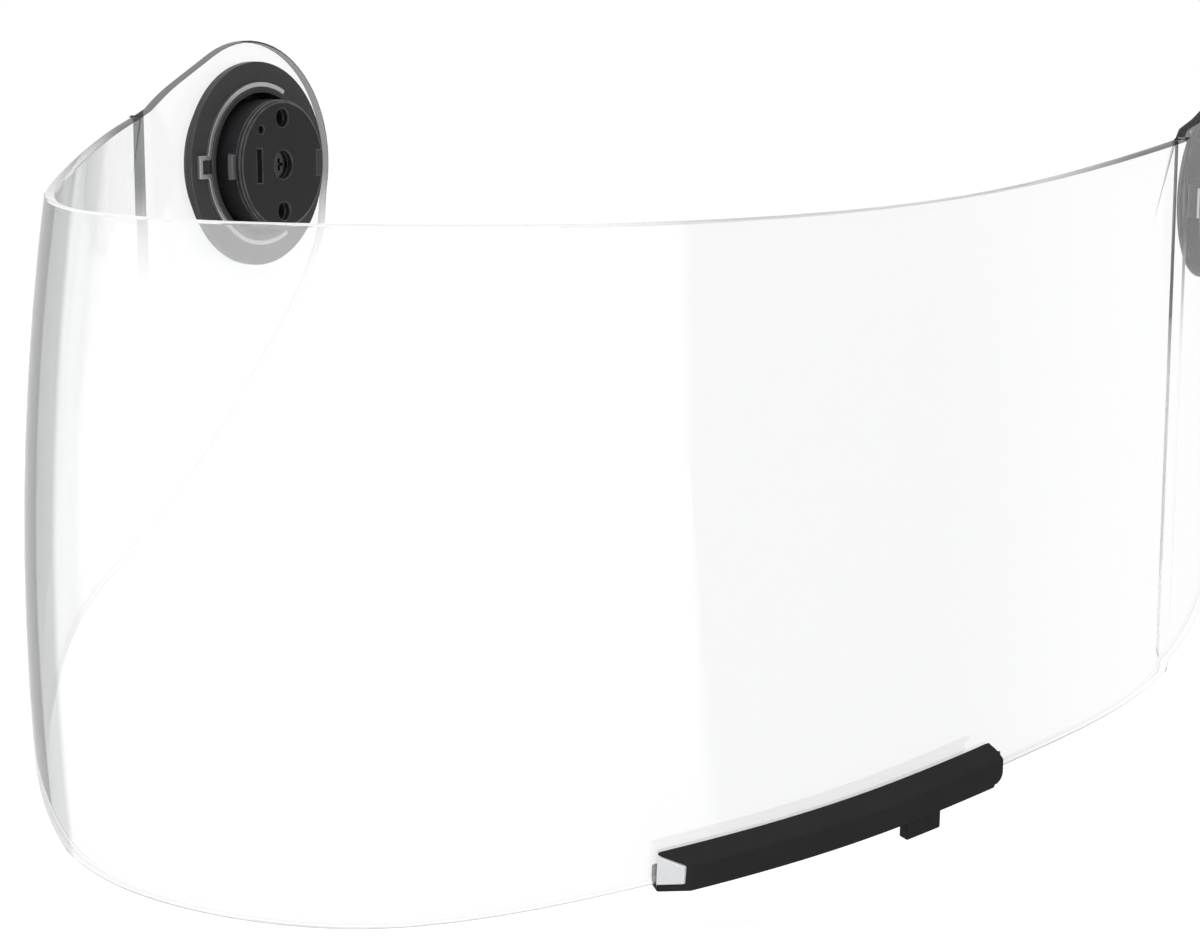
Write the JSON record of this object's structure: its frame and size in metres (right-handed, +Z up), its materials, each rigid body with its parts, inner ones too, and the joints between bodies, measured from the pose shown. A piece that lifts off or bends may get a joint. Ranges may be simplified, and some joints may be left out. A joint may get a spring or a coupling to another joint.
{
  "type": "motorcycle helmet visor",
  "caption": "Clear curved visor for a full-face helmet, with a hinged pivot plate and hub in each ear and an opening tab on its lower edge.",
  "frame": {"origin": "middle of the line through the two pivots", "axes": "+Z is up, the visor faces -Y and +X is the wearer's left; drawn closed"},
  "size_m": [0.254, 0.1973, 0.143],
  "materials": {
    "lens_clear": "clear, hard-coated, polished",
    "ring_black": "moulded, fine satin",
    "clip_steel": "stamped flat spring steel",
    "cap_black": "moulded, semi-gloss",
    "screw_steel": "dark plated",
    "washer_nylon": "natural nylon",
    "pin_steel": "turned",
    "hub_black": "moulded, satin",
    "hub_cover_black": "moulded, satin",
    "pawl_nylon": "natural nylon",
    "spring_steel": "bright wire",
    "slider_black": "moulded, satin",
    "tab_black": "moulded, satin",
    "tab_grey": "moulded, light grey",
    "tape_clear": "bonding strip"
  },
  "bodies": {
    "root": {"pivot_hub_left": "hub_black", "pivot_hub_right": "hub_black", "hub_cover_left": "hub_cover_black", "hub_cover_right": "hub_cover_black", "detent_spring_left": "spring_steel", "detent_spring_right": "spring_steel", "lock_spring_left": "spring_steel", "lock_spring_right": "spring_steel"},
    "shield": {"visor_lens": "lens_clear", "tab_cover": "tab_black", "tab_core": "tab_grey", "tab_tape": "tape_clear", "tab_peg": "tab_black", "ear_ring_left": "ring_black", "ear_ring_right": "ring_black", "retaining_clip_left": "clip_steel", "retaining_clip_right": "clip_steel", "pivot_cap_left": "cap_black", "pivot_cap_right": "cap_black", "cap_screws_left": "screw_steel", "cap_screws_right": "screw_steel", "thrust_washer_left": "washer_nylon", "thrust_washer_right": "washer_nylon", "pivot_pin_left": "pin_steel", "pivot_pin_right": "pin_steel", "pin_washer_left": "pin_steel", "pin_washer_right": "pin_steel", "pin_screw_left": "screw_steel", "pin_screw_right": "screw_steel"},
    "detent_pawl_left": {"detent_pawl_left": "pawl_nylon"},
    "detent_pawl_right": {"detent_pawl_right": "pawl_nylon"},
    "lock_slider_left": {"lock_slider_left": "slider_black"},
    "lock_slider_right": {"lock_slider_right": "slider_black"}
  },
  "joints": [
    {"name": "shield_hinge", "type": "hinge", "parent": "root", "child": "shield", "pos_m": [0, 0, 0], "axis": [-1, 0, 0], "range_deg": [0, 55]},
    {"name": "detent_pawl_slide_left", "type": "slide", "parent": "root", "child": "detent_pawl_left", "axis": [0, 1, 0], "range_m": [0, 0.00085], "stiffness_N_per_m": 300, "springref_m": 0.0015, "deforming": ["detent_spring_left"]},
    {"name": "lock_slider_slide_left", "type": "slide", "parent": "root", "child": "lock_slider_left", "axis": [0, 1, 0], "range_m": [0, 0.0012], "stiffness_N_per_m": 400, "springref_m": -0.001, "deforming": ["lock_spring_left"]},
    {"name": "detent_pawl_slide_right", "type": "slide", "parent": "root", "child": "detent_pawl_right", "axis": [0, 1, 0], "range_m": [0, 0.00085], "stiffness_N_per_m": 300, "springref_m": 0.0015, "deforming": ["detent_spring_right"]},
    {"name": "lock_slider_slide_right", "type": "slide", "parent": "root", "child": "lock_slider_right", "axis": [0, 1, 0], "range_m": [0, 0.0012], "stiffness_N_per_m": 400, "springref_m": -0.001, "deforming": ["lock_spring_right"]}
  ]
}
